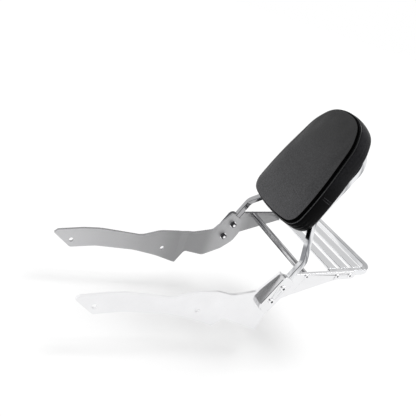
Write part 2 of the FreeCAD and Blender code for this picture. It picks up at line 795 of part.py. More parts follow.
def make_slat(label, index):
    body = new_body("slat_" + label)
    sketch = plane_sketch(body, "XY_Plane", "slat_line_" + label, "bar_size / 2 - slat_gauge")
    reach = V["outer_half_width"] - V["bar_size"]
    # The last slat ends where the corners of the loop begin, and the middle one lies halfway
    last = V["rack_length"] - V["bar_size"] / 2 - V["rack_round"] - V["slat_width"] / 2
    middle = -V["slat_first"] - index * (last - V["slat_first"]) / 2
    half = V["slat_width"] / 2
    corners = [(middle + half, -reach, 0), (middle + half, reach, 0),
               (middle - half, reach, 0), (middle - half, -reach, 0)]
    add_profile(sketch, rounded_profile(corners))
    pad(body, sketch, "slat_plate_" + label, "slat_gauge")
    doc.recompute()
    base = body.Tip
    ease = body.newObject("PartDesign::Fillet", "slat_edges_" + label)
    level = V["bar_size"] / 2

    def top_long(edge):
        flat = all(abs(v.Z - level) < 1e-4 for v in edge.Vertexes)
        return flat and edge.Length > V["slat_width"] * 2

    ease.Base = (base, long_edges(base.Shape, top_long))
    ease.Radius = min(V["slat_edge"], V["slat_gauge"] * 0.4)
    lay_on_slope(body)
    return note(body, "rack_slat_" + label)


for SIDE_NAME, SIDE in (("left", 1), ("right", -1)):
    make_side_plate(SIDE_NAME, SIDE)
    make_bracket(SIDE_NAME, SIDE)

make_clamp_hardware()
make_hoop()
make_strut()
make_pad()
make_board()
make_cross_bar("lower", "cross_bar_low")
make_cross_bar("upper", "cross_bar_high")
make_rack_loop()
for INDEX, NAME in enumerate(("front", "middle", "rear")):
    make_slat(NAME, INDEX)

# Screws of the strut, the rack and the pad
WEB_FACE = V["outer_half_width"] + V["web_gauge"]
SMALL = V["small_screw_dia"]
ARM_GRIP = V["web_gauge"] + V["screw_bite"]
PAD_GRIP = V["cross_bar_gauge"] + V["board_gauge"]
strut_screws = []
for SIDE in (1, -1):
    seat = Vec(STRUT_MIDDLE[0], SIDE * WEB_FACE, STRUT_MIDDLE[1])
    strut_screws.append(button_screw(seat, Vec(0, -SIDE, 0), SMALL, ARM_GRIP))
group("strut_screws", strut_screws)

rack_screws = []
for SIDE in (1, -1):
    for x, z in rack_screw_spots():
        seat = Vec(x, SIDE * WEB_FACE, z)
        rack_screws.append(button_screw(seat, Vec(0, -SIDE, 0), SMALL, ARM_GRIP))
group("rack_screws", rack_screws)

pad_screws = []
for y, z in screw_spots():
    seat = Vec(-V["cross_bar_gauge"], y, z)
    pad_screws.append(button_screw(seat, Vec(1, 0, 0), SMALL, PAD_GRIP))
stand_pad(group("pad_screws", pad_screws))

doc.recompute()

# Nothing is written unless every object and every piece is sound
for obj in doc.Objects:
    if "Invalid" in obj.State or "Error" in obj.State:
        raise RuntimeError("%s is %s" % (obj.Label, obj.State))
for obj in nodes:
    if obj.Shape.isNull() or not obj.Shape.isValid():
        raise RuntimeError("%s has no sound shape" % obj.Label)

os.makedirs("parts", exist_ok=True)
for obj in nodes:
    obj.Shape.exportStep("parts/%s.step" % obj.Label)
    box = obj.Shape.BoundBox
    print("%-22s solids %d volume %9.0f  X %7.1f %7.1f  Y %7.1f %7.1f  Z %7.1f %7.1f" % (
        obj.Label, len(obj.Shape.Solids), obj.Shape.Volume,
        box.XMin, box.XMax, box.YMin, box.YMax, box.ZMin, box.ZMax))
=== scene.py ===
import math

import bmesh
import bpy
from mathutils import Matrix, Vector
from mathutils.bvhtree import BVHTree


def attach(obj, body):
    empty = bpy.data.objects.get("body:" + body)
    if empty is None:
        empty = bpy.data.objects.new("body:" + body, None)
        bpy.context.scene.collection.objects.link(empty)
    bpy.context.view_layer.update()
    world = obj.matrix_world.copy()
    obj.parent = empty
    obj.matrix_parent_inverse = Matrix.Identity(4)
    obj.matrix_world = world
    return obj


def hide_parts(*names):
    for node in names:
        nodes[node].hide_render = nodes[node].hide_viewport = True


# Detachable passenger backrest with a short luggage rack.
# +X points to the front of the motorcycle, +Y to its left side, +Z up.
# The scene is in metres. Values that are multiplied by MM are written in millimetres.

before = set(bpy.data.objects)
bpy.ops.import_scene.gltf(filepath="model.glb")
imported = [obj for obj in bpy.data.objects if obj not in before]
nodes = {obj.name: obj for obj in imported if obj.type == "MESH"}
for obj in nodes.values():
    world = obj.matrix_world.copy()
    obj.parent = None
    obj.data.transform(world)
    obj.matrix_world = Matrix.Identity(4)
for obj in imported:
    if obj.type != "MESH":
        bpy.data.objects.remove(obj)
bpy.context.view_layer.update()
scene = bpy.context.scene
MM = 0.001
LEFT = 1.0
RIGHT = -1.0


# Camera: place, direction and roll that give the photograph's view

CAMERA_PLACE = Vector((0.59849, 1.02252, 0.67506))
CAMERA_FORWARD = Vector((-0.472803, -0.792974, -0.384251))
CAMERA_ROLL = 20.44
CAMERA_LENS = 51.917
SENSOR_WIDTH = 36.0
CLIP_START = 0.05
CLIP_END = 40.0


def add_camera():
    data = bpy.data.cameras.new("camera")
    data.sensor_width = SENSOR_WIDTH
    data.lens = CAMERA_LENS
    obj = bpy.data.objects.new("camera", data)
    scene.collection.objects.link(obj)
    obj.rotation_mode = "QUATERNION"
    level = CAMERA_FORWARD.to_track_quat("-Z", "Y")
    roll = Matrix.Rotation(math.radians(CAMERA_ROLL), 3, "Z").to_quaternion()
    obj.location = CAMERA_PLACE
    obj.rotation_quaternion = level @ roll
    data.clip_start = CLIP_START
    data.clip_end = CLIP_END
    scene.camera = obj


# Small helpers for materials

# Levels between which most of a noise lies
NOISE_SPREAD = (0.3, 0.7)


def new_material(name):
    mat = bpy.data.materials.new(name)
    mat.use_nodes = True
    tree = mat.node_tree
    return mat, tree, tree.nodes["Principled BSDF"]


def add_node(tree, kind, **values):
    """New node with some of its own properties set."""
    made = tree.nodes.new(kind)
    for key, value in values.items():
        setattr(made, key, value)
    return made


def object_coordinates(tree, stretch=(1.0, 1.0, 1.0)):
    place = add_node(tree, "ShaderNodeTexCoord")
    mapping = add_node(tree, "ShaderNodeMapping")
    mapping.inputs["Scale"].default_value = stretch
    tree.links.new(place.outputs["Object"], mapping.inputs["Vector"])
    return mapping.outputs["Vector"]


def noise_value(tree, vector, scale, detail, roughness):
    made = add_node(tree, "ShaderNodeTexNoise")
    made.inputs["Scale"].default_value = scale
    made.inputs["Detail"].default_value = detail
    made.inputs["Roughness"].default_value = roughness
    tree.links.new(vector, made.inputs["Vector"])
    return made.outputs["Fac"]


def axis_value(tree, vector, axis):
    split = add_node(tree, "ShaderNodeSeparateXYZ")
    tree.links.new(vector, split.inputs["Vector"])
    return split.outputs[axis]


def facing_value(tree, vector, direction):
    """Cosine of the angle between a vector of length one and a direction."""
    dot = add_node(tree, "ShaderNodeVectorMath", operation="DOT_PRODUCT")
    tree.links.new(vector, dot.inputs[0])
    dot.inputs[1].default_value = direction.normalized()
    return dot.outputs["Value"]


def ramp(tree, value, results, spread):
    """Map a value that runs over a spread onto results, level beyond the ends."""
    made = add_node(tree, "ShaderNodeMapRange")
    tree.links.new(value, made.inputs["Value"])
    made.inputs["From Min"].default_value = spread[0]
    made.inputs["From Max"].default_value = spread[1]
    made.inputs["To Min"].default_value = results[0]
    made.inputs["To Max"].default_value = results[1]
    return made.outputs["Result"]


def portion(tree, value, start, end):
    """0 where a value is at start, 1 where it is at end, level beyond."""
    return ramp(tree, value, (0.0, 1.0), (start, end))


def bands_along(tree, value, start, end, stops):
    """Grey level along a stretch from start to end, eased through (place, level) stops."""
    made = add_node(tree, "ShaderNodeValToRGB")
    made.color_ramp.interpolation = "EASE"
    points = made.color_ramp.elements
    while len(points) < len(stops):
        points.new(0.5)
    for point, (place, level) in zip(points, stops):
        point.position = (place - start) / (end - start)
        point.color = (level, level, level, 1.0)
    tree.links.new(portion(tree, value, start, end), made.inputs["Fac"])
    return made.outputs["Color"]


def feed(tree, socket, value):
    """Give a socket a number, a colour or another node's output."""
    if isinstance(value, tuple):
        socket.default_value = value + (1.0,)
    elif isinstance(value, float):
        socket.default_value = value
    else:
        tree.links.new(value, socket)


def mix_colour(tree, factor, first, second, blend="MIX"):
    made = add_node(tree, "ShaderNodeMix", data_type="RGBA", blend_type=blend)
    feed(tree, made.inputs[0], factor)
    feed(tree, made.inputs[6], first)
    feed(tree, made.inputs[7], second)
    return made.outputs[2]


def times(tree, colour, level):
    return mix_colour(tree, 1.0, colour, level, "MULTIPLY")


def mix_value(tree, factor, first, second):
    made = add_node(tree, "ShaderNodeMix", data_type="FLOAT")
    feed(tree, made.inputs[0], factor)
    feed(tree, made.inputs[2], first)
    feed(tree, made.inputs[3], second)
    return made.outputs[0]


def finish_material(tree, shader, tint, rough):
    tree.links.new(tint, shader.inputs["Base Color"])
    feed(tree, shader.inputs["Roughness"], rough)


def bump(tree, shader, height, strength, distance):
    made = add_node(tree, "ShaderNodeBump")
    made.inputs["Strength"].default_value = strength
    made.inputs["Distance"].default_value = distance
    tree.links.new(height, made.inputs["Height"])
    tree.links.new(made.outputs["Normal"], shader.inputs["Normal"])


def grey(level, blue=0.01):
    """Grey with a trace more blue."""
    return (level, level, level + blue)


def chrome(level):
    """Grey with the cool tint of chrome."""
    return (level, level + 0.005, level + 0.02)


def scaled(colour, share):
    return tuple(part * share for part in colour)


# Steel

SMUDGE_SHADE = 0.93
SMUDGE_SPREAD = (0.35, 0.7)

# Painted shade darkens the hoop from this far left of the middle to as far right of it
SHADE_REACH = 90.0 * MM

# Share of the painted reflection on a bar's broken edge by the cosine between a face and the
# bar's front face: none on the flat sides, at 0 and at 1, and all of it on the 45 degree face
# between them. The broken edges are painted dark as a reflection of dark surroundings.
EDGE_REFLECTION_SHARE = [(0.0, 0.0), (0.32, 0.0), (0.5, 1.0), (0.86, 1.0), (0.96, 0.0), (1.0, 0.0)]


def polished_steel(name, colour, rough=(0.05, 0.13), painted_shade_side=None, edge=None, mirrored=None):
    """Chrome with faint polishing waves and smudges.

    painted_shade_side is the darker colour painted on the right side, as painted shade. edge is the
    normal of a bar's front face and the dark colour painted on its broken edges, as a painted
    reflection. mirrored is the stretch, start, end and colour of streaks that stand for the dark
    things that the bar reflects."""
    mat, tree, shader = new_material(name)
    shader.inputs["Metallic"].default_value = 1.0
    where = object_coordinates(tree)
    smudge = noise_value(tree, where, scale=38.0, detail=4.0, roughness=0.6)
    tint = mix_colour(tree, smudge, colour, scaled(colour, SMUDGE_SHADE))
    # The right side is painted darker: painted shade
    if painted_shade_side:
        across = portion(tree, axis_value(tree, where, "Y"), SHADE_REACH, -SHADE_REACH)
        tint = mix_colour(tree, across, tint, painted_shade_side)
    if mirrored:
        stretch, start, end, dark = mirrored
        stretched = object_coordinates(tree, stretch)
        streak = noise_value(tree, stretched, scale=1.0, detail=2.0, roughness=0.45)
        tint = mix_colour(tree, portion(tree, streak, start, end), tint, dark)
    # Broken edges painted dark: painted reflection
    if edge:
        front, edge_reflection_colour = edge
        geometry = add_node(tree, "ShaderNodeNewGeometry")
        size = add_node(tree, "ShaderNodeMath", operation="ABSOLUTE")
        cosine = facing_value(tree, geometry.outputs["True Normal"], front)
        tree.links.new(cosine, size.inputs[0])
        broken = bands_along(tree, size.outputs[0], 0.0, 1.0, EDGE_REFLECTION_SHARE)
        tint = mix_colour(tree, broken, tint, edge_reflection_colour)
    finish_material(tree, shader, tint, ramp(tree, smudge, rough, SMUDGE_SPREAD))
    wave = noise_value(tree, where, scale=16.0, detail=2.0, roughness=0.4)
    bump(tree, shader, wave, strength=0.25, distance=0.9 * MM)
    return mat


# Painted light and shade on the satin inner faces by X, in metres, from the rear to the front:
# darker at the rear and about the plate's bend, lighter towards the front
SATIN_START = -0.4
SATIN_END = 0.3
SATIN_SHADE_BANDS = [(-0.36, 0.50), (-0.225, 0.56), (-0.175, 0.84), (-0.14, 0.82), (-0.105, 0.60),
               (-0.04, 0.60), (0.03, 0.80), (0.12, 0.94), (0.24, 1.04)]

# A face turns polished, or satin, while its normal's outward part goes through these values
POLISHED_FACING = (0.35, 0.75)
SATIN_FACING = (-0.8, -0.97)


def two_faced_steel(name, outward, edges, edge_rough):
    """Plate steel: chrome polished on the outer face, satin on the inner face, cut edges between.

    outward is LEFT or RIGHT, and edges are the darkest and the lightest colour painted on the cut
    edges: painted reflection and shade, light on the left side and dark on the right."""
    mat, tree, shader = new_material(name)
    shader.inputs["Metallic"].default_value = 1.0
    geometry = add_node(tree, "ShaderNodeNewGeometry")
    facing = axis_value(tree, geometry.outputs["Normal"], "Y")
    outer = portion(tree, facing, *(outward * level for level in POLISHED_FACING))
    inner = portion(tree, facing, *(outward * level for level in SATIN_FACING))
    where = object_coordinates(tree)
    grain = noise_value(tree, where, scale=900.0, detail=3.0, roughness=0.7)
    cloud = noise_value(tree, where, scale=22.0, detail=5.0, roughness=0.6)
    satin = mix_colour(tree, cloud, grey(0.61), grey(0.72))
    # Painted light and shade along the plate
    along = bands_along(tree, axis_value(tree, where, "X"), SATIN_START, SATIN_END, SATIN_SHADE_BANDS)
    speck = mix_colour(tree, grain, grey(0.80, 0.0), grey(1.0, 0.0))
    satin = times(tree, times(tree, satin, along), speck)
    # The cut edges' colour is painted reflection and shade
    edge = mix_colour(tree, cloud, *edges)
    polished = mix_colour(tree, cloud, grey(0.80), grey(0.89))
    tint = mix_colour(tree, outer, mix_colour(tree, inner, edge, satin), polished)
    satin_rough = ramp(tree, cloud, (0.42, 0.56), NOISE_SPREAD)
    chrome_rough = ramp(tree, cloud, (0.05, 0.12), NOISE_SPREAD)
    rough = mix_value(tree, outer, mix_value(tree, inner, edge_rough, satin_rough), chrome_rough)
    finish_material(tree, shader, tint, rough)
    bump(tree, shader, mix_value(tree, outer, grain, cloud), strength=0.12, distance=0.4 * MM)
    return mat


def dark_steel(name):
    mat, tree, shader = new_material(name)
    shader.inputs["Metallic"].default_value = 1.0
    where = object_coordinates(tree)
    blotch = noise_value(tree, where, scale=260.0, detail=4.0, roughness=0.6)
    tint = mix_colour(tree, blotch, grey(0.16), grey(0.34))
    finish_material(tree, shader, tint, ramp(tree, blotch, (0.22, 0.42), NOISE_SPREAD))
    bump(tree, shader, blotch, strength=0.15, distance=0.2 * MM)
    return mat


# Pad cover, thread and board

# Z between which the painted light and shade on the cover changes along the pad
PAD_Z_LOW = 190.0 * MM
PAD_Z_HIGH = 440.0 * MM
PEBBLE_SCALE = 620.0
PEBBLE_SMOOTHNESS = 0.6
PEBBLE_EDGE = (0.1, 0.75)
HIGHLIGHT = 1.4
CREASE_SHADE = 0.55
MOTTLE = (0.7, 1.3)
MOTTLE_SPREAD = (0.34, 0.66)


def leatherette(name, colour, grain_depth, gloss, rough, painted_light_by_height=None):
    """Grained cover: small pebbles between fine creases.

    painted_light_by_height holds the painted light and shade, as brightness by share of the
    pad's height."""
    mat, tree, shader = new_material(name)
    shader.inputs["Specular IOR Level"].default_value = gloss
    where = object_coordinates(tree)
    cells = add_node(tree, "ShaderNodeTexVoronoi", feature="SMOOTH_F1")
    cells.inputs["Scale"].default_value = PEBBLE_SCALE
    cells.inputs["Smoothness"].default_value = PEBBLE_SMOOTHNESS
    tree.links.new(where, cells.inputs["Vector"])
    pebble = cells.outputs["Distance"]
    fine = noise_value(tree, where, scale=1500.0, detail=2.0, roughness=0.5)
    broad = noise_value(tree, where, scale=14.0, detail=3.0, roughness=0.5)
    blotch = noise_value(tree, where, scale=300.0, detail=3.0, roughness=0.6)
    tint = mix_colour(tree, broad, colour, scaled(colour, HIGHLIGHT))
    crease = portion(tree, pebble, *PEBBLE_EDGE)
    tint = mix_colour(tree, crease, tint, scaled(colour, CREASE_SHADE))
    tint = times(tree, tint, ramp(tree, blotch, MOTTLE, MOTTLE_SPREAD))
    # Painted light and shade: brightness changed by height along the pad
    if painted_light_by_height:
        share = portion(tree, axis_value(tree, where, "Z"), PAD_Z_LOW, PAD_Z_HIGH)
        tint = times(tree, tint, bands_along(tree, share, 0.0, 1.0, painted_light_by_height))
    finish_material(tree, shader, tint, ramp(tree, broad, rough, NOISE_SPREAD))
    # The finer noise says how much of each pebble's height is left
    height = mix_value(tree, fine, 0.0, pebble)
    bump(tree, shader, height, strength=0.35, distance=grain_depth * MM)
    return mat


def thread_material(name):
    mat, tree, shader = new_material(name)
    where = object_coordinates(tree)
    twist = noise_value(tree, where, scale=2200.0, detail=1.0, roughness=0.5)
    tint = mix_colour(tree, twist, grey(0.05, 0.005), grey(0.14))
    finish_material(tree, shader, tint, 0.5)
    bump(tree, shader, twist, strength=0.3, distance=0.1 * MM)
    return mat


def board_material(name):
    """Dark plastic with a faint grain along the pad."""
    mat, tree, shader = new_material(name)
    where = object_coordinates(tree, (1.0, 1.0, 0.15))
    fibre = noise_value(tree, where, scale=320.0, detail=4.0, roughness=0.6)
    tint = mix_colour(tree, fibre, grey(0.016, 0.002), grey(0.045, 0.003))
    finish_material(tree, shader, tint, 0.62)
    bump(tree, shader, fibre, strength=0.2, distance=0.2 * MM)
    return mat


HOOP_LEAN = math.radians(24.0)
RACK_SLOPE = math.radians(7.4)
HOOP_FRONT = Vector((math.cos(HOOP_LEAN), 0.0, math.sin(HOOP_LEAN)))
RACK_UP = Vector((-math.sin(RACK_SLOPE), 0.0, math.cos(RACK_SLOPE)))

MATERIALS = {
    # The cut edges' colours are painted reflection and shade: light on the left, dark on the right
    "plate_left": two_faced_steel("plate_steel_left", LEFT, (grey(0.90), grey(0.96)), 0.4),
    "plate_right": two_faced_steel("plate_steel_right", RIGHT, (grey(0.30), grey(0.42)), 0.25),
    "bracket_left": two_faced_steel("bracket_steel_left", LEFT, (grey(0.66), grey(0.76)), 0.38),
    "bracket_right": two_faced_steel("bracket_steel_right", RIGHT,
                                     (grey(0.07, 0.005), grey(0.13)), 0.24),
    # Hoop: the right side is painted darker as painted shade, and the broken edges are painted dark
    # as a painted reflection
    "hoop": polished_steel("hoop_chrome", chrome(0.86), painted_shade_side=grey(0.38),
                           edge=(HOOP_FRONT, chrome(0.13)),
                           mirrored=((70.0, 26.0, 9.0), 0.5, 0.64, chrome(0.27))),
    # Bars and loop: the broken edges are painted dark as a painted reflection
    "bars": polished_steel("strut_chrome", grey(0.72), (0.18, 0.3),
                           edge=(RACK_UP, grey(0.08)),
                           mirrored=((260.0, 9.0, 260.0), 0.4, 0.56, grey(0.12))),
    "loop": polished_steel("loop_chrome", chrome(0.86),
                           edge=(RACK_UP, chrome(0.36)),
                           mirrored=((26.0, 9.0, 70.0), 0.52, 0.66, chrome(0.6))),
    "rack": polished_steel("rack_chrome", chrome(0.88)),
    "head": polished_steel("bolt_head_chrome", grey(0.93), (0.06, 0.12)),
    "nut": polished_steel("nut_steel", grey(0.06, 0.005), (0.05, 0.1)),
    "dark": dark_steel("fastener_steel"),
    # Painted light and shade by height: the cover lighter low down, a painted sheen on the band's
    # top, the piping darker at the top
    "cover": leatherette("pad_cover_leatherette", grey(0.044, 0.003), grain_depth=0.9,
                         gloss=0.38, rough=(0.42, 0.56),
                         painted_light_by_height=[(0.0, 2.0), (0.2, 1.6), (0.5, 1.0), (1.0, 0.35)]),
    "band": leatherette("pad_band_leatherette", grey(0.0028, 0.0003), grain_depth=0.4,
                        gloss=0.03, rough=(0.3, 0.4),
                        painted_light_by_height=[(0.0, 0.8), (0.3, 1.0), (0.62, 6.0), (1.0, 9.0)]),
    # Near black and without gloss: painted shade for the valley and the foot of the rolled edge
    "crease": leatherette("pad_painted_shade_leatherette", grey(0.002, 0.0), grain_depth=0.2,
                          gloss=0.0, rough=(0.6, 0.7)),
    "piping": leatherette("pad_piping_leatherette", grey(0.05, 0.003), grain_depth=0.2,
                          gloss=0.4, rough=(0.26, 0.36),
                          painted_light_by_height=[(0.0, 1.0), (0.4, 0.9), (0.7, 0.35), (1.0, 0.2)]),
    "thread": thread_material("pad_thread"),
    "board": board_material("pad_board_plastic"),
}


# Mesh helpers

def outward_mesh(bm, name):
    """Smooth mesh with its faces turned outwards, from a bmesh that isn't needed any more."""
    bmesh.ops.recalc_face_normals(bm, faces=bm.faces)
    mesh = bpy.data.meshes.new(name)
    bm.to_mesh(mesh)
    bm.free()
    for face in mesh.polygons:
        face.use_smooth = True
    return mesh


def object_from_mesh(mesh, materials):
    obj = bpy.data.objects.new(mesh.name, mesh)
    scene.collection.objects.link(obj)
    for key in materials:
        mesh.materials.append(MATERIALS[key])
    return obj


def hexagon(corner, angle):
    """Reach of a hexagon with this corner radius in the direction of an angle."""
    turn = (angle + math.pi / 6) % (math.pi / 3) - math.pi / 6
    return corner * math.cos(math.pi / 6) / math.cos(turn)


def circle(radius):
    return lambda angle: radius


def hex_ring(corner, limit):
    """Hexagon whose corners are cut by a circle: a chamfered nut at one height."""
    return lambda angle: min(hexagon(corner, angle), limit)


def turned(bm, rings, place, axis, segments, slots=None):
    """Skin over rings (along, reach of an angle) round an axis through place. Both ends closed."""
    other = Vector((1, 0, 0)) if abs(axis.x) < 0.5 else Vector((0, 1, 0))
    first = (other - axis * other.dot(axis)).normalized()
    second = axis.cross(first)
    made = []
    for along, reach in rings:
        ring = []
        for k in range(segments):
            angle = 2 * math.pi * k / segments
            offset = first * math.cos(angle) + second * math.sin(angle)
            ring.append(bm.verts.new(place + (axis * along + offset * reach(angle)) * MM))
        made.append(ring)
    for index, (a, b) in enumerate(zip(made, made[1:])):
        for k in range(segments):
            n = (k + 1) % segments
            face = bm.faces.new((a[k], a[n], b[n], b[k]))
            face.material_index = slots[index] if slots else 0
    for ring, slot in ((made[0][::-1], 0), (made[-1], -1)):
        face = bm.faces.new(ring)
        face.material_index = slots[slot] if slots else 0


# The pad's own frame: X forward out of the face, Z up along the pad. Widths are half widths.

PAD_ORIGIN = Vector((-0.165249, 0.0, 0.083242))
PAD_LEAN = -23.0
PAD_FRAME = Matrix.Translation(PAD_ORIGIN) @ Matrix.Rotation(math.radians(PAD_LEAN), 4, "Y")
PAD_LOW = 105.0
PAD_HIGH = 380.2
PAD_WIDE = 100.6
PAD_SHOULDER = 83.5
PAD_BACK = 0.3
PAD_FRONT = 57.3
PAD_BOW = 10.0
PAD_MIDDLE = (PAD_LOW + PAD_HIGH) / 2

# Corners of the outline: shares of the pad's width and height, and radii of the arcs
BOTTOM_WIDTH = 0.4
BOTTOM_RADIUS = 350.0
CORNER_INSET = 1.2
CORNER_RADIUS = 34.0
FLANK_BULGE = 1.0
FLANK_HEIGHT = 0.35
FLANK_RADIUS = 700.0
SHOULDER_DROP = 0.195
SHOULDER_RADIUS = 85.0
BROW_WIDTH = 0.585
BROW_DROP = 0.053
BROW_RADIUS = 80.0
TOP_WIDTH = 0.255
TOP_RADIUS = 120.0


def pad_point(depth, y, z):
    return PAD_FRAME @ Vector((depth * MM, y * MM, z * MM))


def pad_corners(inset):
    """Corners (y, z, radius) of the pad's outline in millimetres, drawn in by an inset."""
    low = PAD_LOW + inset
    high = PAD_HIGH - inset
    wide = PAD_WIDE - inset
    tall = high - low
    half = [
        (wide * BOTTOM_WIDTH, low, BOTTOM_RADIUS),
        (wide - CORNER_INSET, low + PAD_BOW, CORNER_RADIUS),
        (wide + FLANK_BULGE, low + tall * FLANK_HEIGHT, FLANK_RADIUS),
        (PAD_SHOULDER - inset, high - tall * SHOULDER_DROP, SHOULDER_RADIUS),
        (wide * BROW_WIDTH, high - tall * BROW_DROP, BROW_RADIUS),
        (wide * TOP_WIDTH, high, TOP_RADIUS),
    ]
    return half + [(-y, z, radius) for y, z, radius in half[::-1]]


# The most of a straight run that the arcs at its two ends may take
ARC_LIMIT = 0.98


def rounded_loop(corners, step):
    """Points along straight runs and tangent arcs. Arcs that want more than their run share it."""
    count = len(corners)
    points = [Vector(corner[:2]) for corner in corners]
    turns = []
    wishes = []
    for i in range(count):
        before = points[i - 1] - points[i]
        after = points[(i + 1) % count] - points[i]
        turns.append(math.pi - before.angle(after))
        wishes.append(corners[i][2] * math.tan(turns[i] / 2))
    loop = []
    for i in range(count):
        a = points[i - 1] - points[i]
        b = points[(i + 1) % count] - points[i]
        share = min(1.0, ARC_LIMIT * a.length / (wishes[i] + wishes[i - 1]))
        share = min(share, ARC_LIMIT * b.length / (wishes[i] + wishes[(i + 1) % count]))
        reach = wishes[i] * share
        radius = reach / math.tan(turns[i] / 2)
        a.normalize()
        b.normalize()
        centre = points[i] + (a + b).normalized() * (radius / math.cos(turns[i] / 2))
        start = points[i] + a * reach - centre
        pieces = max(2, round(radius * turns[i] / step))
        sign = 1.0 if start.cross(points[i] + b * reach - centre) > 0 else -1.0
        for k in range(pieces + 1):
            angle = sign * turns[i] * k / pieces
            loop.append(centre + Matrix.Rotation(angle, 2) @ start)
    return loop


def radial_reach(loop, angle):
    """Distance from the pad's middle to a loop of points, in the direction of an angle."""
    direction = Vector((math.cos(angle), math.sin(angle)))
    middle = Vector((0.0, PAD_MIDDLE))
    best = 0.0
    for k, point in enumerate(loop):
        a = loop[k - 1] - middle
        b = point - middle
        side_a = direction.cross(a)
        side_b = direction.cross(b)
        if side_a * side_b <= 0 and side_a != side_b:
            hit = a.lerp(b, side_a / (side_a - side_b))
            best = max(best, hit.dot(direction))
    return best


# The face and the back are grids of this many cells each way, drawn onto the pad's outline
CELLS = 40


def cell_point(i, j):
    """Even map of the square grid onto a disc: angle and share of the radius."""
    u = 2 * i / CELLS - 1
    v = 2 * j / CELLS - 1
    x = u * math.sqrt(1 - v * v / 2)
    y = v * math.sqrt(1 - u * u / 2)
    return math.atan2(y, x), math.hypot(x, y)


def grid_border():
    """Grid places round the border of the panel, in order."""
    n = CELLS
    run = [(i, 0) for i in range(n)] + [(n, j) for j in range(n)]
    return run + [(n - i, n) for i in range(n)] + [(0, n - j) for j in range(n)]


BORDER_ANGLES = [cell_point(i, j)[0] for i, j in grid_border()]
OUTLINE_STEP = 3.0
outlines = {}


def outline_place(inset, angle, share=1.0):
    """Place (y, z) at a share of the way from the pad's middle to its outline."""
    if inset not in outlines:
        outlines[inset] = rounded_loop(pad_corners(inset), OUTLINE_STEP)
    reach = radial_reach(outlines[inset], angle) * share
    return reach * math.cos(angle), PAD_MIDDLE + reach * math.sin(angle)


# How firmly seams and foam hold a ring of the cover when it swells
FREE = 0.0
WALL_HOLD = 0.4
BAND_TOP_HOLD = 0.5
SEWN = 1.0

# Material slots of the cover. The third holds the near-black painted shade of the valley and of
# the rolled edge's foot.
COVER = 0
BAND = 1
PAINTED_SHADE = 2

FACE_RIM = PAD_FRONT - 1.0
FACE_INSET = 11.0
FACE_CROWN = 1.6
BAND_TOP = 42.8
BAND_TOP_INSET = -0.5
BAND_FOOT = 7.6
BAND_ROWS = 12
BAND_TAPER = 2.0
BAND_BULGE = 0.9
BACK_INSET = 10.7
BOARD_FACE = 4.3

# Rings round the cushion: depth, inset, hold, and slot of the strip that leads there
FACE_RINGS = [
    (PAD_FRONT - 1.3, 7.4, FREE, COVER),
    (PAD_FRONT - 2.0, 5.0, FREE, COVER),
    # The roll's foot, the wall and the valley carry the painted shade
    (PAD_FRONT - 3.3, 3.5, FREE, PAINTED_SHADE),
    (PAD_FRONT - 4.4, 3.5, WALL_HOLD, PAINTED_SHADE),
    (PAD_FRONT - 6.6, 3.8, WALL_HOLD, PAINTED_SHADE),
    (PAD_FRONT - 8.8, 4.6, WALL_HOLD, PAINTED_SHADE),
]
VALLEY_RINGS = [
    (47.0, 6.0, SEWN, PAINTED_SHADE),
    (45.7, 2.8, BAND_TOP_HOLD, BAND),
    (44.6, 0.7, BAND_TOP_HOLD, BAND),
    (BAND_TOP, BAND_TOP_INSET, BAND_TOP_HOLD, BAND),
]
REAR_RINGS = [
    (3.2, 3.0, SEWN, BAND),
    (1.1, 5.6, SEWN, BAND),
    (PAD_BACK, 8.0, SEWN, BAND),
    (PAD_BACK, BACK_INSET, SEWN, BAND),
]


def band_rings():
    """Rings of the side band, which bulges in the middle and tapers to the back."""
    rings = []
    for k in range(1, BAND_ROWS + 1):
        share = k / BAND_ROWS
        depth = BAND_TOP + (BAND_FOOT - BAND_TOP) * share
        bulge = BAND_BULGE * math.sin(math.pi * share)
        rings.append((depth, BAND_TOP_INSET + BAND_TAPER * share ** 2 - bulge, FREE, BAND))
    return rings


class CoverMesh:
    """The cushion's cover while it is built, and how firmly each of its vertices is held."""

    def __init__(self):
        self.bm = bmesh.new()
        self.holds = []

    def vertex(self, depth, place, hold):
        self.holds.append(hold)
        return self.bm.verts.new(pad_point(depth, *place))

    def ring(self, depth, inset, hold):
        return [self.vertex(depth, outline_place(inset, angle), hold) for angle in BORDER_ANGLES]

    def panel(self, depth, crown, inset, hold, slot):
        """Grid drawn onto the outline, crowned in the middle. Returns its border."""
        rows = []
        for i in range(CELLS + 1):
            row = []
            for j in range(CELLS + 1):
                angle, share = cell_point(i, j)
                place = outline_place(inset, angle, share)
                row.append(self.vertex(depth + crown * (1.0 - share ** 4), place, hold))
            rows.append(row)
        for i in range(CELLS):
            for j in range(CELLS):
                quad = (rows[i][j], rows[i + 1][j], rows[i + 1][j + 1], rows[i][j + 1])
                self.bm.faces.new(quad).material_index = slot
        return [rows[i][j] for i, j in grid_border()]

    def strip(self, a, b, slot):
        """Faces between two rings."""
        count = len(a)
        for k in range(count):
            n = (k + 1) % count
            self.bm.faces.new((a[k], b[k], b[n], a[n])).material_index = slot


def build_cushion():
    """Closed cushion: crowned face, rolled edge, valley, side band, back with the board's seat.

    Returns the cover and how firmly each of its vertices is held."""
    cover = CoverMesh()
    chain = [(cover.panel(FACE_RIM, FACE_CROWN, FACE_INSET, FREE, COVER), COVER)]
    for depth, inset, hold, slot in FACE_RINGS + VALLEY_RINGS + band_rings() + REAR_RINGS:
        chain.append((cover.ring(depth, inset, hold), slot))
    chain.append((cover.panel(BOARD_FACE, 0.0, BACK_INSET, SEWN, BAND), BAND))
    for (a, _), (b, slot) in zip(chain, chain[1:]):
        cover.strip(a, b, slot)
    mesh = outward_mesh(cover.bm, "pad_cushion_cover")
    return object_from_mesh(mesh, ["cover", "band", "crease"]), cover.holds


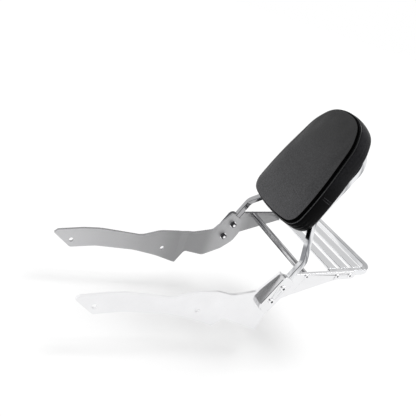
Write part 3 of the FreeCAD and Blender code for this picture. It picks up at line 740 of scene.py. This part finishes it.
# Settings of the cloth that the cover is while it swells
CLOTH = {
    "quality": 6,
    "mass": 0.3,
    "tension_stiffness": 24.0,
    "compression_stiffness": 24.0,
    "shear_stiffness": 10.0,
    "bending_stiffness": 1.2,
    "use_pressure": True,
    "uniform_pressure_force": 3.0,
    "vertex_group_mass": "seams",
    "pin_stiffness": 1.0,
}
PUFF_FRAMES = 20
PUFF_LIMIT = 4.5 * MM
PUFF_SMOOTHING = 8


def swollen_places(cover, holds):
    """Places of the cover's corners after it swells as cloth under pressure, held at its seams."""
    group = cover.vertex_groups.new(name="seams")
    for index, hold in enumerate(holds):
        if hold > 0:
            group.add([index], hold, "REPLACE")
    cloth = cover.modifiers.new("cover", "CLOTH")
    for key, value in CLOTH.items():
        setattr(cloth.settings, key, value)
    cloth.settings.effector_weights.gravity = 0.0
    cloth.collision_settings.use_collision = False
    scene.frame_start = 1
    scene.frame_end = PUFF_FRAMES
    for number in range(1, PUFF_FRAMES + 1):
        scene.frame_set(number)
    evaluated = cover.evaluated_get(bpy.context.evaluated_depsgraph_get())
    swollen = [v.co.copy() for v in evaluated.to_mesh().vertices]
    evaluated.to_mesh_clear()
    cover.modifiers.remove(cloth)
    scene.frame_set(1)
    return swollen


def evened_out(mesh, moves, holds):
    """Moves averaged with those of the neighbours, so that no corner of the grid puckers."""
    neighbours = [[] for _ in moves]
    for edge in mesh.edges:
        a, b = edge.vertices
        neighbours[a].append(b)
        neighbours[b].append(a)
    for _ in range(PUFF_SMOOTHING):
        evened = []
        for index, near in enumerate(neighbours):
            mean = sum(moves[k] for k in near) / len(near)
            evened.append((moves[index] + mean) / 2 * (1.0 - holds[index]))
        moves = evened
    return moves


def puff(cover, holds):
    """Swell the cover between its seams. Only the outward part of the movement counts."""
    mesh = cover.data
    rest = [v.co.copy() for v in mesh.vertices]
    normals = [v.normal.copy() for v in mesh.vertices]
    moves = []
    for before, after, normal, hold in zip(rest, swollen_places(cover, holds), normals, holds):
        outward = max(0.0, (after - before).dot(normal))
        moves.append(min(PUFF_LIMIT, outward) * (1.0 - hold))
    moves = evened_out(mesh, moves, holds)
    for vertex, before, normal, move in zip(mesh.vertices, rest, normals, moves):
        vertex.co = before + normal * move
    mesh.update()


# Folds of the band: where they begin and end in depth, and where round the outline they lie
FOLD_DEPTH = 0.7 * MM
FOLD_LENGTH = 11.0
FOLD_SLANT = 0.06
FOLD_FROM = 9.0
FOLD_TO = 44.0
FOLD_SIDE = 45.0
FOLD_SIDE_RUN = 35.0
FOLD_LOW = PAD_LOW + 22.0
FOLD_LOW_RUN = 30.0
FOLD_HIGH = PAD_HIGH - 62.0
FOLD_HIGH_RUN = 60.0
FOLD_HIGH_SHARE = 0.45


def gather_band(mesh):
    """Shallow folds where the band is pulled round the pad's corners, deepest at the bottom."""
    back = PAD_FRAME.inverted()
    for vertex in mesh.vertices:
        place = back @ vertex.co / MM
        if not FOLD_FROM < place.x < FOLD_TO:
            continue
        side = min(1.0, max(0.0, (abs(place.y) - FOLD_SIDE) / FOLD_SIDE_RUN))
        low = max(0.0, 1.0 - abs(place.z - FOLD_LOW) / FOLD_LOW_RUN)
        high = max(0.0, 1.0 - abs(place.z - FOLD_HIGH) / FOLD_HIGH_RUN)
        window = math.sin(math.pi * (place.x - FOLD_FROM) / (FOLD_TO - FOLD_FROM))
        wave = math.sin(2 * math.pi * (place.x + FOLD_SLANT * place.z) / FOLD_LENGTH)
        strength = side * window * wave * (low + FOLD_HIGH_SHARE * high)
        vertex.co += vertex.normal * (FOLD_DEPTH * strength)
    mesh.update()


PIPING_DEPTH = 46.4
PIPING_INSET = 1.9
PIPING_RADIUS = 1.2
PIPING_STEP = 2.5
PIPING_SIDES = 10

# Points of the outline that lie closer together than this count as one
SAME_POINT = 0.2


def build_piping():
    """Round piping sewn into the valley between the face and the band."""
    loop = rounded_loop(pad_corners(PIPING_INSET), PIPING_STEP)
    spread = []
    for k, point in enumerate(loop):
        if (point - loop[k - 1]).length > SAME_POINT:
            spread.append(loop[k - 1])
    bm = bmesh.new()
    rings = []
    count = len(spread)
    for k, point in enumerate(spread):
        run = (spread[(k + 1) % count] - spread[k - 1]).normalized()
        out = Vector((run.y, -run.x))
        ring = []
        for step in range(PIPING_SIDES):
            angle = 2 * math.pi * step / PIPING_SIDES
            flat = point + out * (PIPING_RADIUS * math.cos(angle))
            depth = PIPING_DEPTH + PIPING_RADIUS * math.sin(angle)
            ring.append(bm.verts.new(pad_point(depth, flat.x, flat.y)))
        rings.append(ring)
    for k in range(count):
        a = rings[k]
        b = rings[(k + 1) % count]
        for step in range(PIPING_SIDES):
            n = (step + 1) % PIPING_SIDES
            bm.faces.new((a[step], a[n], b[n], b[step]))
    piping = object_from_mesh(outward_mesh(bm, "pad_piping"), ["piping"])
    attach(piping, "root")


# The seam that closes the band on the left side of the pad: a folded welt between two rows of
# stitches. WELT holds places across it and their lift, STITCH places along it and their share of
# the radius. The welt starts at SEAM_END of its lift and gains SEAM_FADE times its length's share.
SEAM_HEIGHT = 203.0
SEAM_FROM = 9.0
SEAM_TO = 42.0
SEAM_STEPS = 24
SEAM_END = 0.1
SEAM_FADE = 4.0
WELT = [(-1.44, -0.5), (-0.63, 0.5), (0.0, 0.75), (0.63, 0.5), (1.44, -0.5)]
STITCH_MARGIN = 3.0
STITCH_STEP = 3.4
STITCH_LENGTH = 2.3
STITCH_RADIUS = 0.32
STITCH_COUNT = 8
STITCH_SIDES = 8
STITCH_LIFT = 0.112
STITCH_ROW = 2.6
STITCH = [(0.0, 0.3), (0.12, 0.8), (0.5, 1.0), (0.88, 0.8), (1.0, 0.3)]

# A place beyond the left side of the pad, from which the cover is looked for
OUTSIDE = 130.0


def left_surface(cover):
    """Function that gives the spot and normal of the cover's left side at a depth and height."""
    tree = BVHTree.FromObject(cover, bpy.context.evaluated_depsgraph_get())
    inward = Vector((0, -1, 0))

    def surface(depth, height):
        spot, normal, _, _ = tree.ray_cast(pad_point(depth, OUTSIDE, height), inward)
        return spot, normal

    return surface


def build_welt(surface):
    bm = bmesh.new()
    rows = []
    for k in range(SEAM_STEPS + 1):
        depth = SEAM_FROM + (SEAM_TO - SEAM_FROM) * k / SEAM_STEPS
        fade = min(1.0, SEAM_FADE * min(k, SEAM_STEPS - k) / SEAM_STEPS + SEAM_END)
        row = []
        for across, lift in WELT:
            spot, normal = surface(depth, SEAM_HEIGHT + across)
            row.append(bm.verts.new(spot + normal * (lift * fade * MM)))
        rows.append(row)
    for a, b in zip(rows, rows[1:]):
        for k in range(len(a) - 1):
            bm.faces.new((a[k], a[k + 1], b[k + 1], b[k]))
    welt = object_from_mesh(outward_mesh(bm, "pad_band_seam"), ["band"])
    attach(welt, "root")


def build_stitches(surface):
    bm = bmesh.new()
    for side in (-STITCH_ROW, STITCH_ROW):
        for k in range(STITCH_COUNT):
            start = SEAM_FROM + STITCH_MARGIN + STITCH_STEP * k
            a, normal = surface(start, SEAM_HEIGHT + side)
            b, _ = surface(start + STITCH_LENGTH, SEAM_HEIGHT + side)
            length = (b - a).length / MM
            rings = [(length * along, circle(STITCH_RADIUS * size)) for along, size in STITCH]
            place = a + normal * (STITCH_LIFT * MM)
            turned(bm, rings, place, (b - a).normalized(), STITCH_SIDES)
    stitches = object_from_mesh(outward_mesh(bm, "pad_band_stitches"), ["thread"])
    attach(stitches, "root")


def build_pad():
    cushion, holds = build_cushion()
    puff(cushion, holds)
    gather_band(cushion.data)
    rounding = cushion.modifiers.new("smooth", "SUBSURF")
    rounding.levels = 2
    rounding.render_levels = 2
    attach(cushion, "root")
    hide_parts("pad_cushion")
    build_piping()
    surface = left_surface(cushion)
    build_welt(surface)
    build_stitches(surface)


# Fasteners: x and z of those that lie across the part, and the heights of those along the pad

CLAMP_PLACES = [(-169.017, 84.284), (-153.561, 49.569)]
STRUT_PLACES = [(-222.797, 114.013)]
RACK_PLACES = [(-305.39, 120.96), (-339.11, 125.34)]
PAD_SCREW_PLACES = [178.0, 268.0]
PAD_SCREW_SEAT = -6.0
SHARP_ANGLE = 38.0

# Material slots of a screw
HEAD = 0
SOCKET = 1

THREAD_PITCH = 1.25
THREAD_DEPTH = 0.32
THREAD_RINGS = 6
RUNOUT_LENGTH = 1.2
RUNOUT_START = 0.15
RUNOUT_DEPTH = 0.35


def threaded(start, end, radius):
    """Rings of a cut thread from start to end along the shank, shallower at the tip."""
    count = round((end - start) / THREAD_PITCH * THREAD_RINGS)
    made = []
    for k in range(count + 1):
        along = start + (end - start) * k / count
        fade = min(1.0, (end - along) / RUNOUT_LENGTH + RUNOUT_START)

        def reach(angle, along=along, fade=fade):
            turn = (along / THREAD_PITCH + angle / (2 * math.pi)) % 1.0
            crest = abs(2 * turn - 1.0)
            return radius - THREAD_DEPTH * crest - RUNOUT_DEPTH * (1.0 - fade)

        made.append((along, reach))
    return made


# Button head screw: sizes as shares of the thread's diameter
HEAD_RADIUS = 0.9
HEAD_HEIGHT = 0.55
RIM_HEIGHT = 0.14
CROWN_RADIUS = 0.4536
SOCKET_CORNER = 0.36
SOCKET_DEPTH = 0.36

# Sizes in millimetres that are the same for every diameter
MOUTH_DEPTH = 0.35
MOUTH_EDGE = 0.05
RIM_CHAMFER = 0.3
TIP_BEVEL = 1.2

# Hexagon rings from the socket's floor to its mouth: corner and the circle that cuts it, then
# the circles round the mouth, all as shares of the socket
SOCKET_RINGS = [(0.96, 1.0), (1.0, 1.1), (1.1, 1.12)]
MOUTH_RINGS = [1.22, 1.3]
DOME_STEPS = 8
SCREW_SIDES = 36


def button_screw(bm, place, axis, diameter, length, threaded_from):
    """Domed screw with a hexagon socket. Socket and threads are darker than head and tip."""
    head = diameter * HEAD_RADIUS
    height = diameter * HEAD_HEIGHT
    crown = diameter * CROWN_RADIUS
    socket = diameter * SOCKET_CORNER
    rings = []
    depths = [diameter * SOCKET_DEPTH, MOUTH_DEPTH, MOUTH_EDGE]
    for depth, (corner, limit) in zip(depths, SOCKET_RINGS):
        rings.append((depth - height, hex_ring(socket * corner, socket * limit)))
    rings += [(-height, circle(socket * share)) for share in MOUTH_RINGS]
    slots = [SOCKET, SOCKET, HEAD, HEAD]
    for k in range(1, DOME_STEPS + 1):
        angle = math.pi / 2 * k / DOME_STEPS
        radius = crown + (head - crown) * math.sin(angle)
        drop = (height - diameter * RIM_HEIGHT) * (1 - math.cos(angle))
        rings.append((-height + drop, circle(radius)))
        slots.append(HEAD)
    rings.append((-RIM_CHAMFER, circle(head)))
    rings.append((0.0, circle(head - RIM_CHAMFER)))
    rings.append((0.0, circle(diameter / 2)))
    slots += [HEAD, HEAD, HEAD]
    thread = threaded(threaded_from, length, diameter / 2)
    rings += thread
    slots += [SOCKET] * len(thread)
    rings.append((length, circle(diameter / 2 - TIP_BEVEL)))
    slots.append(HEAD)
    turned(bm, rings, place, axis, SCREW_SIDES, slots)


def finish_fasteners(bm, name, materials, replaced):
    mesh = outward_mesh(bm, name)
    mesh.set_sharp_from_angle(angle=math.radians(SHARP_ANGLE))
    obj = object_from_mesh(mesh, materials)
    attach(obj, "root")
    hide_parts(replaced)


def build_side_screws(name, replaced, places, seat, **sizes):
    """Screws that point inwards, their heads on a seat at the same distance left and right."""
    bm = bmesh.new()
    for x, z in places:
        for side in (LEFT, RIGHT):
            place = Vector((x, side * seat, z)) * MM
            button_screw(bm, place, Vector((0, -side, 0)), **sizes)
    finish_fasteners(bm, name, ["head", "dark"], replaced)


def build_pad_screws():
    bm = bmesh.new()
    axis = (PAD_FRAME.to_3x3() @ Vector((1, 0, 0))).normalized()
    for height in PAD_SCREW_PLACES:
        place = pad_point(PAD_SCREW_SEAT, 0.0, height)
        button_screw(bm, place, axis, diameter=6.0, length=10.0, threaded_from=2.0)
    finish_fasteners(bm, "pad_screw_set", ["head", "dark"], "pad_screws")


NUT_CORNER = 7.5
NUT_FLAT = NUT_CORNER * math.cos(math.pi / 6)
NUT_LOW = 116.0
NUT_HIGH = 122.4
NUT_BORE = 4.15
NUT_BORE_DEPTH = 1.2
NUT_BORE_CHAMFER = 0.55
NUT_BORE_CHAMFER_OUT = 0.5
NUT_FACE = NUT_FLAT * 0.96
NUT_CHAMFER = [0.2, 0.55, 1.0]
NUT_CHAMFER_START = NUT_FLAT * 0.97
NUT_CHAMFER_SLOPE = 1.15
NUT_SIDES = 48


def build_nuts():
    bm = bmesh.new()
    height = NUT_HIGH - NUT_LOW

    def chamfer(along):
        return hex_ring(NUT_CORNER, NUT_CHAMFER_START + along * NUT_CHAMFER_SLOPE)

    rings = [(NUT_BORE_DEPTH, circle(NUT_BORE)), (0.0, circle(NUT_BORE + NUT_BORE_CHAMFER)),
             (0.0, circle(NUT_FACE))]
    rings += [(along, chamfer(along)) for along in NUT_CHAMFER]
    rings += [(height - along, chamfer(along)) for along in reversed(NUT_CHAMFER)]
    rings += [(height, circle(NUT_FACE)), (height, circle(NUT_BORE + NUT_BORE_CHAMFER_OUT))]
    for x, z in CLAMP_PLACES:
        for side in (LEFT, RIGHT):
            place = Vector((x, side * NUT_LOW, z)) * MM
            turned(bm, rings, place, Vector((0, side, 0)), NUT_SIDES)
    finish_fasteners(bm, "clamp_nut_set", ["nut"], "clamp_nuts")


WASHER_HIGH = 123.85
WASHER_LOW = 122.55
WASHER_OUTER = 8.4
WASHER_BORE = 4.25
WASHER_GAP = 0.2
WASHER_SPRING = 0.15
WASHER_STEPS = 40
WASHER_WIRE = [(WASHER_BORE, WASHER_HIGH), (WASHER_OUTER, WASHER_HIGH),
               (WASHER_OUTER, WASHER_LOW), (WASHER_BORE, WASHER_LOW)]


def build_spring_washers():
    """Split rings of square wire, their ends sprung apart a little."""
    bm = bmesh.new()
    for x, z in CLAMP_PLACES:
        for side in (LEFT, RIGHT):
            rings = []
            for k in range(WASHER_STEPS + 1):
                share = k / WASHER_STEPS
                angle = math.pi / 2 + WASHER_GAP + 2 * (math.pi - WASHER_GAP) * share
                shift = WASHER_SPRING * (share - 0.5)
                ring = []
                for radius, y in WASHER_WIRE:
                    spot = Vector((x + radius * math.cos(angle), side * (y - shift),
                                   z + radius * math.sin(angle)))
                    ring.append(bm.verts.new(spot * MM))
                rings.append(ring)
            for a, b in zip(rings, rings[1:]):
                for corner in range(len(a)):
                    n = (corner + 1) % len(a)
                    bm.faces.new((a[corner], a[n], b[n], b[corner]))
            bm.faces.new(rings[0][::-1])
            bm.faces.new(rings[-1])
    finish_fasteners(bm, "clamp_washer_set", ["head"], "clamp_washers")


M8_BOLT = {"diameter": 8.0, "length": 32.0, "threaded_from": 20.0}
M6_SCREW = {"diameter": 6.0, "length": 17.0, "threaded_from": 3.0}
CLAMP_SEAT = 146.0
ARM_SEAT = 138.0


def build_fasteners():
    build_side_screws("clamp_bolt_set", "clamp_bolts", CLAMP_PLACES, CLAMP_SEAT, **M8_BOLT)
    build_side_screws("strut_screw_set", "strut_screws", STRUT_PLACES, ARM_SEAT, **M6_SCREW)
    build_side_screws("rack_screw_set", "rack_screws", RACK_PLACES, ARM_SEAT, **M6_SCREW)
    build_pad_screws()
    build_nuts()
    build_spring_washers()


# The solids that stay: material and width of the broken edges in millimetres

NODES = {
    "side_plate_left": ("plate_left", 0.7),
    "bracket_left": ("bracket_left", 0.6),
    "side_plate_right": ("plate_right", 0.7),
    "bracket_right": ("bracket_right", 0.6),
    "hoop": ("hoop", 0.3),
    "cross_strut": ("bars", 0.3),
    "cross_bar_lower": ("bars", 0.5),
    "cross_bar_upper": ("bars", 0.5),
    "rack_loop": ("loop", 0.3),
    "rack_slat_front": ("rack", 0.3),
    "rack_slat_middle": ("rack", 0.3),
    "rack_slat_rear": ("rack", 0.3),
    "pad_board": ("board", 0.5),
}
JOIN_DISTANCE = 0.002 * MM
BEVEL_ANGLE = 35.0
FLAT_WEIGHT = 80


def joined_smooth_group():
    """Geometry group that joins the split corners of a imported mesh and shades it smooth."""
    group = bpy.data.node_groups.new("joined_smooth", "GeometryNodeTree")
    group.interface.new_socket(name="Geometry", in_out="INPUT", socket_type="NodeSocketGeometry")
    group.interface.new_socket(name="Geometry", in_out="OUTPUT", socket_type="NodeSocketGeometry")
    start = group.nodes.new("NodeGroupInput")
    merge = group.nodes.new("GeometryNodeMergeByDistance")
    merge.inputs["Distance"].default_value = JOIN_DISTANCE
    smooth = group.nodes.new("GeometryNodeSetShadeSmooth")
    end = group.nodes.new("NodeGroupOutput")
    group.links.new(start.outputs[0], merge.inputs["Geometry"])
    group.links.new(merge.outputs[0], smooth.inputs["Geometry"])
    group.links.new(smooth.outputs[0], end.inputs[0])
    return group


def dress_nodes():
    """Give each solid its material and soften its edges, with its flat faces shaded flat."""
    joined = joined_smooth_group()
    for name, (key, width) in NODES.items():
        node = nodes[name]
        for slot in node.material_slots:
            slot.material = MATERIALS[key]
        node.modifiers.new("joined", "NODES").node_group = joined
        soften = node.modifiers.new("broken_edges", "BEVEL")
        soften.width = width * MM
        soften.segments = 2
        soften.limit_method = "ANGLE"
        soften.angle_limit = math.radians(BEVEL_ANGLE)
        soften.use_clamp_overlap = name.startswith("side_plate")
        weigh = node.modifiers.new("flat_faces_first", "WEIGHTED_NORMAL")
        weigh.keep_sharp = True
        weigh.weight = FLAT_WEIGHT


# Floor, world and the one lamp

FLOOR_LEVEL = -0.09
FLOOR_REACH = 9.0
FLOOR_COLOUR = (0.82, 0.82, 0.82, 1.0)
WHITE = (1.0, 1.0, 1.0, 1.0)
FLOOR_GLOW = 0.2
KEY_DIRECTION = Vector((-0.62, -0.12, 1.0))
KEY_STRENGTH = 1.45
KEY_SOFTNESS = 30.0


def rays_that_see_white(tree):
    """1 for camera, glossy and transmission rays, 0 for the rays that light the object."""
    path = add_node(tree, "ShaderNodeLightPath")
    first = add_node(tree, "ShaderNodeMath", operation="MAXIMUM")
    tree.links.new(path.outputs["Is Camera Ray"], first.inputs[0])
    tree.links.new(path.outputs["Is Glossy Ray"], first.inputs[1])
    second = add_node(tree, "ShaderNodeMath", operation="MAXIMUM")
    tree.links.new(first.outputs[0], second.inputs[0])
    tree.links.new(path.outputs["Is Transmission Ray"], second.inputs[1])
    return second.outputs[0]


def add_floor():
    bm = bmesh.new()
    bmesh.ops.create_grid(bm, x_segments=2, y_segments=2, size=FLOOR_REACH)
    mesh = bpy.data.meshes.new("floor")
    bm.to_mesh(mesh)
    bm.free()
    floor = object_from_mesh(mesh, [])
    floor.location.z = FLOOR_LEVEL
    mat, tree, shader = new_material("floor_white")
    shader.inputs["Base Color"].default_value = FLOOR_COLOUR
    shader.inputs["Roughness"].default_value = 1.0
    shader.inputs["Specular IOR Level"].default_value = 0.0
    shader.inputs["Emission Color"].default_value = WHITE
    glow = add_node(tree, "ShaderNodeMath", operation="MULTIPLY")
    tree.links.new(rays_that_see_white(tree), glow.inputs[0])
    glow.inputs[1].default_value = FLOOR_GLOW
    tree.links.new(glow.outputs[0], shader.inputs["Emission Strength"])
    mesh.materials.append(mat)


# The world is white to the camera and in reflections. Reflections also show two soft patches,
# for the dark side of the studio behind the camera and for its grey far wall. Each has its
# direction, the angles up to which it is full and beyond which it is gone, and how dark it is.
WORLD_FILL = 0.65
DARK_SIDE = (Vector((0.79, 0.59, 0.18)), 12.0, 36.0, 0.97)
GREY_WALL = (Vector((-0.45, -0.75, 0.45)), 10.0, 42.0, 0.3)


def patch(tree, direction, full_angle, none_angle):
    """1 for rays within an angle of a direction, 0 beyond a wider angle."""
    place = add_node(tree, "ShaderNodeTexCoord")
    cosine = facing_value(tree, place.outputs["Generated"], direction)
    near = math.cos(math.radians(none_angle))
    made = portion(tree, cosine, near, math.cos(math.radians(full_angle)))
    made.node.interpolation_type = "SMOOTHSTEP"
    return made


def add_world():
    world = bpy.data.worlds.new("studio")
    world.use_nodes = True
    scene.world = world
    tree = world.node_tree
    background = tree.nodes["Background"]
    background.inputs["Color"].default_value = WHITE
    mirrored = 1.0
    for direction, full_angle, none_angle, depth in (DARK_SIDE, GREY_WALL):
        spot = patch(tree, direction, full_angle, none_angle)
        mirrored = mix_value(tree, ramp(tree, spot, (0.0, depth), (0.0, 1.0)), mirrored, 0.0)
    path = add_node(tree, "ShaderNodeLightPath")
    level = mix_value(tree, rays_that_see_white(tree), WORLD_FILL, 1.0)
    level = mix_value(tree, path.outputs["Is Glossy Ray"], level, mirrored)
    tree.links.new(level, background.inputs["Strength"])


def add_key():
    """Soft sun, as strong on the floor as on the object."""
    data = bpy.data.lights.new("key", "SUN")
    data.energy = KEY_STRENGTH
    data.angle = math.radians(KEY_SOFTNESS)
    obj = bpy.data.objects.new("key", data)
    scene.collection.objects.link(obj)
    obj.rotation_mode = "QUATERNION"
    obj.rotation_quaternion = KEY_DIRECTION.to_track_quat("Z", "Y")


build_pad()
build_fasteners()
dress_nodes()
scene.view_settings.view_transform = "Standard"
add_camera()
add_floor()
add_world()
add_key()
